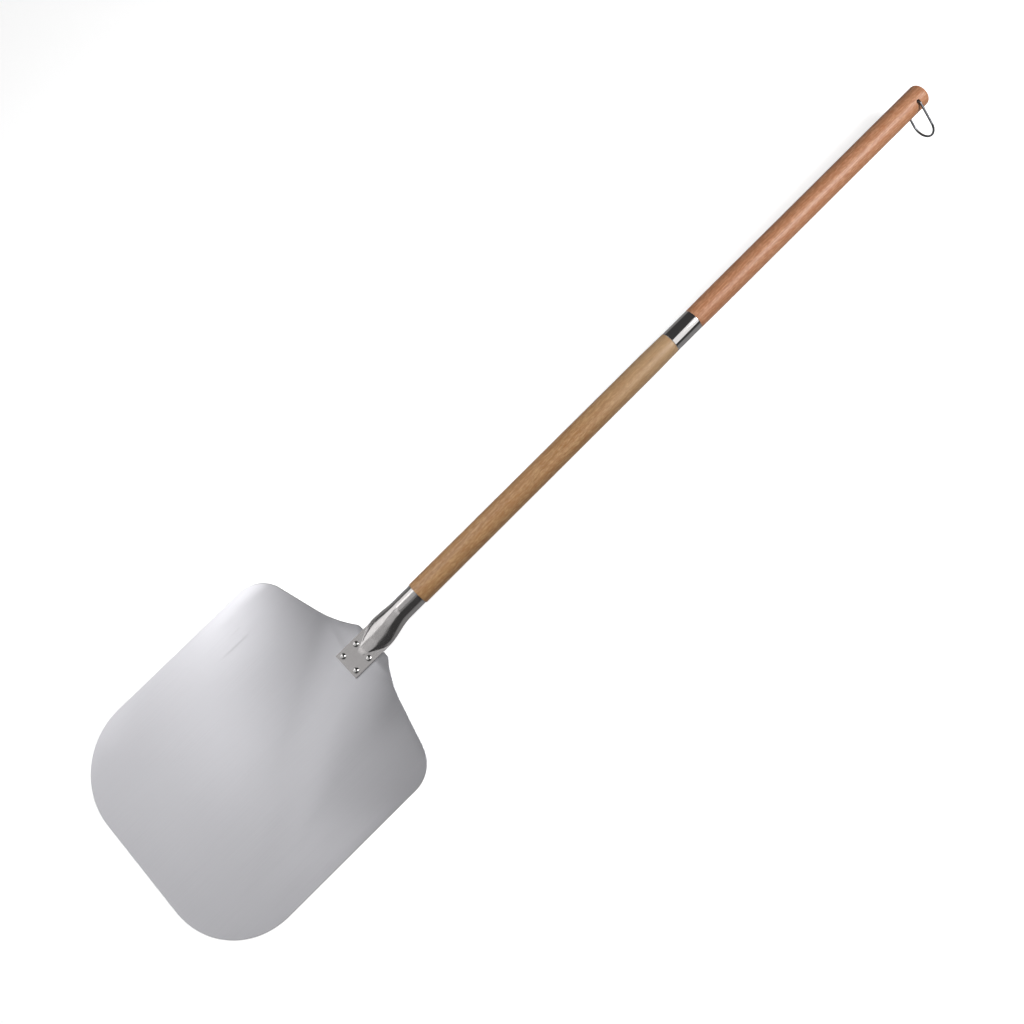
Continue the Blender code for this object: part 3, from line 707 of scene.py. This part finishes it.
def make_lower_handle(mat):
    """The fixed stick, with a tenon at each end and a bore for the insert."""
    bore = INSERT_RADIUS + FIT_GAP
    bore_end = INSERT_START - INSERT_BORE_DEPTH
    shoulder = MOUTH_S + FIT_GAP
    step = FERRULE_START - FIT_GAP
    taper = FERRULE_START - TAPER_LENGTH
    corners = [(0, bore_end, 0), (bore, bore_end, 0), (bore, LOWER_END, BORE_ROUNDING)]
    corners += [(JOINT_TENON_RADIUS, LOWER_END, TENON_ROUNDING), (JOINT_TENON_RADIUS, step, 0)]
    corners += [(FERRULE_RADIUS, step, WOOD_ROUNDING), (LOWER_END_RADIUS, taper, TAPER_ROUNDING)]
    corners += [(HANDLE_RADIUS, shoulder, WOOD_ROUNDING), (SOCKET_TENON_RADIUS, shoulder, 0)]
    corners += [(SOCKET_TENON_RADIUS, LOWER_START, SOCKET_TENON_ROUNDING), (0, LOWER_START, 0)]
    lower = lathe("lower_stick", rounded(corners), HANDLE)
    return piece(lower, "peel", mat, "lower_wood", "lower_handle")


def make_ferrule(mat):
    """The joint's sleeve, with softened rims."""
    outer = FERRULE_RADIUS
    inner = outer - FERRULE_WALL
    corners = [(inner, FERRULE_END - FERRULE_LIP, 0),
               (inner, FERRULE_END, FERRULE_INNER_ROUNDING),
               (outer, FERRULE_END, FERRULE_OUTER_ROUNDING),
               (outer, FERRULE_START, FERRULE_OUTER_ROUNDING),
               (inner, FERRULE_START, FERRULE_INNER_ROUNDING),
               (inner, FERRULE_START + FERRULE_LIP, 0)]
    ferrule = lathe("ferrule_sleeve", rounded(corners), HANDLE, FERRULE_STEPS, closed=True)
    return piece(ferrule, "peel", mat, "polished_steel", "ferrule")


def make_upper_handle(mat):
    """The removable stick: a rounded end, a tenon, a bore for the stud and the loop's hole."""
    shoulder = FERRULE_END + FIT_GAP
    bore = THREAD_RADIUS + FIT_GAP
    bore_end = STUD_END + STUD_BORE_DEPTH
    end_flat = UPPER_RADIUS - END_ROUNDING
    corners = [(0, HANDLE_END, 0)]
    for k in range(HANDLE_END_STEPS + 1):
        angle = math.pi / 2 * (1 - k / HANDLE_END_STEPS)
        corners.append((end_flat + END_ROUNDING * math.cos(angle),
                        HANDLE_END - END_ROUNDING + END_ROUNDING * math.sin(angle), 0))
    corners += [(UPPER_RADIUS, shoulder + TAPER_LENGTH, TAPER_ROUNDING),
                (FERRULE_RADIUS, shoulder, WOOD_ROUNDING),
                (JOINT_TENON_RADIUS, shoulder, 0),
                (JOINT_TENON_RADIUS, UPPER_START, TENON_ROUNDING),
                (bore, UPPER_START, BORE_ROUNDING),
                (bore, bore_end, 0),
                (0, bore_end, 0)]
    upper = lathe("upper_stick", rounded(corners), HANDLE)
    turn = Vector((0, 0, 1)).rotation_difference(LOOP_AXIS).to_matrix().to_4x4()
    reach = 2 * UPPER_RADIUS
    mouth = UPPER_RADIUS - LOOP_HOLE_CHAMFER
    wide = LOOP_HOLE_RADIUS + (reach - mouth)
    drill = [(0, reach), (wide, reach), (LOOP_HOLE_RADIUS, mouth),
             (LOOP_HOLE_RADIUS, -mouth), (wide, -reach), (0, -reach)]
    cut(upper, [lathe("cutter", drill, Matrix.Translation(LOOP_PIVOT) @ turn, HOLE_STEPS)])
    shade(upper)
    return piece(upper, "handle", mat, "upper_wood", "upper_handle")


# ---------------------------------------------------------------- hidden joint

def make_stud(mat):
    """The threaded rod in the upper handle, its thread drawn as rings."""
    neck = THREAD_RADIUS - STUD_CHAMFER
    groove = THREAD_RADIUS - STUD_THREAD_DEPTH
    profile = [(0, STUD_END), (neck, STUD_END), (THREAD_RADIUS, STUD_END - STUD_CHAMFER)]
    z = STUD_END - STUD_CHAMFER
    while z - THREAD_PITCH > STUD_START + STUD_CHAMFER:
        for radius, part in zip((THREAD_RADIUS, groove, groove, THREAD_RADIUS), STUD_THREAD_TURN):
            profile.append((radius, z - part * THREAD_PITCH))
        z -= THREAD_PITCH
    profile += [(THREAD_RADIUS, STUD_START + STUD_CHAMFER), (neck, STUD_START), (0, STUD_START)]
    stud = lathe("joint_stud", profile, HANDLE, SMALL_STEPS, sharp=20)
    return piece(stud, "stud", mat, "fastener_steel", "threaded_stud")


def make_insert(mat):
    """The brass nut in the lower handle, ribbed outside so that it grips the wood."""
    inner = THREAD_RADIUS + THREAD_GAP
    valley = INSERT_RADIUS - INSERT_RIB_DEPTH
    crest_length, valley_start, valley_end = INSERT_RIB
    profile = [(inner, INSERT_END), (INSERT_RADIUS - INSERT_CHAMFER, INSERT_END)]
    z = INSERT_END - INSERT_CHAMFER
    while z - INSERT_RIB_PITCH > INSERT_START:
        profile += [(INSERT_RADIUS, z), (INSERT_RADIUS, z - crest_length)]
        profile += [(valley, z - valley_start), (valley, z - valley_end)]
        z -= INSERT_RIB_PITCH
    profile += [(INSERT_RADIUS, z), (INSERT_RADIUS, INSERT_START), (inner, INSERT_START)]
    insert = lathe("joint_insert", profile, HANDLE, SMALL_STEPS, closed=True, sharp=20)
    return piece(insert, "peel", mat, "insert_brass", "threaded_insert")


def make_socket_screw(mat):
    """A countersunk screw with a cross recess in its head."""
    node = frame["nodes"]["socket_screw"]
    inverse = HANDLE.inverted()
    places = [inverse @ vertex.co for vertex in node.data.vertices]
    face = max(place.x for place in places)
    tip = min(place.x for place in places)
    middle = (min(place.z for place in places) + max(place.z for place in places)) / 2
    head = max(abs(place.y) for place in places)
    matrix = HANDLE @ Matrix.Translation((face, 0, middle))
    matrix = matrix @ Matrix.Rotation(math.radians(90), 4, "Y")
    shank = head / 2
    root = shank * SCREW_ROOT_PART
    thread_end, point_start = SCREW_TIP_LENGTHS
    profile = [(0, 0), (head - SCREW_HEAD_CHAMFER, 0), (head, -SCREW_HEAD_CHAMFER),
               (shank, -SCREW_HEAD_DEPTH)]
    z = -SCREW_THREAD_START
    while z > tip - face + thread_end:
        profile += [(root, z), (shank, z - 0.5 * MM), (root, z - MM)]
        z -= SCREW_THREAD_PITCH
    profile += [(root, tip - face + point_start), (0, tip - face)]
    screw = lathe("wood_screw", profile, matrix, HOLE_STEPS, sharp=20)
    length_part, recess_width, recess_depth = SCREW_RECESS
    cutters = []
    for turn in (0, 90):
        shape = bmesh.new()
        bmesh.ops.create_cube(shape, size=1)
        size = (head * length_part, recess_width, recess_depth)
        bmesh.ops.scale(shape, verts=shape.verts, vec=size)
        spin = Matrix.Rotation(math.radians(turn + SCREW_RECESS_TURN), 4, "Z")
        cutters.append(mesh_object("cutter", shape, matrix @ spin))
    cut(screw, cutters)
    shade(screw, 20)
    return piece(screw, "peel", mat, "fastener_steel", "socket_screw")


# ---------------------------------------------------------------- hanging loop

def loop_hang():
    """Straight down, without its part along the loop's axis: the way that the loop hangs."""
    down = Vector((0, 0, -1))
    return (down - LOOP_AXIS * down.dot(LOOP_AXIS)).normalized()


def make_loop(mat):
    """A long wire loop with a round end, whose two bent-in tips sit in the handle's hole."""
    bend = LOOP_BEND_RADIUS
    top = LOOP_ARC_RADIUS - LOOP_SHIFT
    bottom = -LOOP_ARC_RADIUS - LOOP_SHIFT
    path = [Vector((top - LOOP_TIP_LENGTH, 0)), Vector((top - bend - LOOP_TIP_BEND_LEAD, 0))]
    path += arc(Vector((top - bend, bend)), bend, -math.pi / 2, 0, LOOP_BEND_STEPS)
    path += [Vector((top, LOOP_LEG_END * t)) for t in (0.3, 0.6, 0.9)]
    path += arc(Vector((-LOOP_SHIFT, LOOP_LEG_END)), LOOP_ARC_RADIUS, 0, math.pi, LOOP_ARC_STEPS)
    path += [Vector((bottom, LOOP_LEG_END * t)) for t in (0.9, 0.6, 0.3)]
    path += arc(Vector((bottom + bend, bend)), bend, math.pi, 1.5 * math.pi, LOOP_BEND_STEPS)
    path += [Vector((bottom + bend + LOOP_TIP_BEND_LEAD, 0)),
             Vector((bottom + LOOP_TIP_LENGTH, 0))]
    hang = loop_hang()
    curve = bpy.data.curves.new("wire_loop", "CURVE")
    curve.dimensions = "3D"
    curve.bevel_depth = WIRE_RADIUS
    curve.bevel_resolution = 8
    curve.use_fill_caps = True
    spline = curve.splines.new("POLY")
    spline.points.add(len(path) - 1)
    for point, (across, down) in zip(spline.points, path):
        point.co = (*(LOOP_AXIS * across + hang * down), 1)
    wire = link("wire_loop", curve, Matrix.Translation(LOOP_PIVOT))
    return piece(wire, "loop", mat, "wire_steel", "hanging_loop")


# ---------------------------------------------------------------- studio

def make_floor():
    """A plain white floor that neither mirrors nor bounces light into the peel."""
    shape = bmesh.new()
    bmesh.ops.create_grid(shape, x_segments=4, y_segments=4, size=FLOOR_REACH)
    floor = mesh_object("studio_floor", shape, Matrix.Translation(FLOOR_CENTRE))
    n = Nodes("studio_white")
    n.finish(Base_Color=(0.9, 0.9, 0.9, 1), Roughness=0.95)
    n.shader.inputs["Emission Color"].default_value = WHITE
    n.shader.inputs["Emission Strength"].default_value = FLOOR_GLOW
    floor.data.materials.append(n.mat)
    floor.visible_glossy = False
    floor.visible_diffuse = False


def panel(name, place, target, size, radiance):
    """A soft rectangular light of an even brightness, aimed at a point."""
    light = bpy.data.lights.new(name, "AREA")
    light.shape = "RECTANGLE"
    light.size, light.size_y = size
    light.energy = radiance * math.pi * size[0] * size[1]
    obj = link(name, light)
    aim = Vector(target) - Vector(place)
    obj.matrix_world = Matrix.Translation(place) @ aim.to_track_quat("-Z", "Y").to_matrix().to_4x4()
    obj.visible_camera = False
    return obj


def make_world():
    """White as a backdrop, but dim in reflections, a little lighter below the horizon, where
    polished metal sees the floor."""
    world = bpy.data.worlds.new("studio")
    bpy.context.scene.world = world
    world.use_nodes = True
    tree = world.node_tree
    direction = tree.nodes.new("ShaderNodeTexCoord")
    split = tree.nodes.new("ShaderNodeSeparateXYZ")
    level = tree.nodes.new("ShaderNodeMapRange")
    tree.links.new(direction.outputs["Generated"], split.inputs[0])
    tree.links.new(split.outputs["Z"], level.inputs["Value"])
    level.inputs["From Min"].default_value = BELOW_HORIZON
    level.inputs["From Max"].default_value = ABOVE_HORIZON
    level.inputs["To Min"].default_value = BELOW_LEVEL
    level.inputs["To Max"].default_value = ABOVE_LEVEL
    ray = tree.nodes.new("ShaderNodeLightPath")
    seen = tree.nodes.new("ShaderNodeMath")
    seen.operation = "MAXIMUM"
    tree.links.new(level.outputs["Result"], seen.inputs[0])
    tree.links.new(ray.outputs["Is Camera Ray"], seen.inputs[1])
    background = tree.nodes["Background"]
    background.inputs["Color"].default_value = WHITE
    tree.links.new(seen.outputs[0], background.inputs["Strength"])


def make_lights():
    """Panels that only the metal mirrors, a key light and a fill that has no highlight."""
    for settings in REFLECTED_PANELS:
        panel(*settings).visible_diffuse = False
    panel(*KEY_LIGHT)
    panel(*FILL_LIGHT).visible_glossy = False


def make_camera():
    """The photograph's view: nearly overhead, turned so that the handle runs up to the right."""
    camera = bpy.data.cameras.new("photo_view")
    camera.sensor_width = CAMERA_SENSOR
    camera.lens = CAMERA_LENS
    camera.clip_start = CAMERA_CLIP_START
    obj = link("photo_view", camera)
    aim = (Vector(CAMERA_TARGET) - Vector(CAMERA_PLACE)).to_track_quat("-Z", "Y")
    turn = aim.to_matrix().to_4x4() @ Matrix.Rotation(CAMERA_ROLL, 4, "Z")
    obj.matrix_world = Matrix.Translation(CAMERA_PLACE) @ turn
    bpy.context.scene.camera = obj


def main():
    """The studio, then every piece of the peel with its material."""
    make_camera()
    make_floor()
    make_world()
    make_lights()
    socket_steel = polished_steel("socket_steel", SOCKET_TINT, 0.14, 0.21, along=0)
    make_blade(aluminium_sheet())
    make_socket(socket_steel)
    make_rivets(polished_steel("rivet_steel", RIVET_TINT, 0.08, 0.14, along=2))
    make_lower_handle(wood("lower_wood", **LOWER_TIMBER))
    make_ferrule(polished_steel("ferrule_steel", FERRULE_TINT, 0.07, 0.12, along=2))
    make_upper_handle(wood("upper_wood", **UPPER_TIMBER))
    make_insert(plated("insert_brass", BRASS_TINT))
    make_stud(plated("stud_steel", STUD_TINT))
    make_socket_screw(plated("screw_steel", SCREW_TINT))
    make_loop(drawn_wire())
    settings = bpy.context.scene.view_settings
    settings.view_transform = "Standard"
    settings.look = "None"
    bpy.context.scene.cycles.use_denoising = True


main()
bpy.context.view_layer.update()
